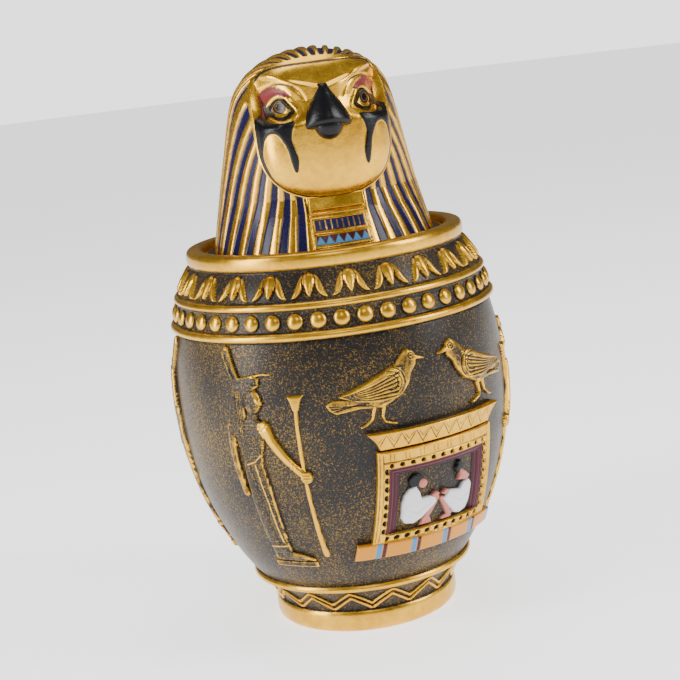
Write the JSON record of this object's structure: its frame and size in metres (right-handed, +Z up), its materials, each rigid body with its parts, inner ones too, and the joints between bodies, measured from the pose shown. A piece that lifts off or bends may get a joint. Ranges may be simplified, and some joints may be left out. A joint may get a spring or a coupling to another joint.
{
  "type": "canopic jar",
  "caption": "Canopic jar copy in cast resin: hollow barrel-shaped vessel with relief figures and a shrine, closed by a lift-off lid shaped as a falcon's head in a striped headcloth.",
  "frame": {"origin": "middle of the jar's underside, on the surface that it stands on", "axes": "+Z up along the jar's axis; the falcon looks along -Y; +X is on the left hand of the falcon"},
  "size_m": [0.1314, 0.1352, 0.2199],
  "materials": {
    "jar_body": "cast polyresin painted black-bronze, raised ornament brushed with antique gold",
    "falcon_lid": "cast polyresin painted antique gold with navy stripes and a glossy black beak"
  },
  "bodies": {
    "root": {"jar_body": "jar_body", "falcon_lid": "falcon_lid"}
  },
  "joints": []
}
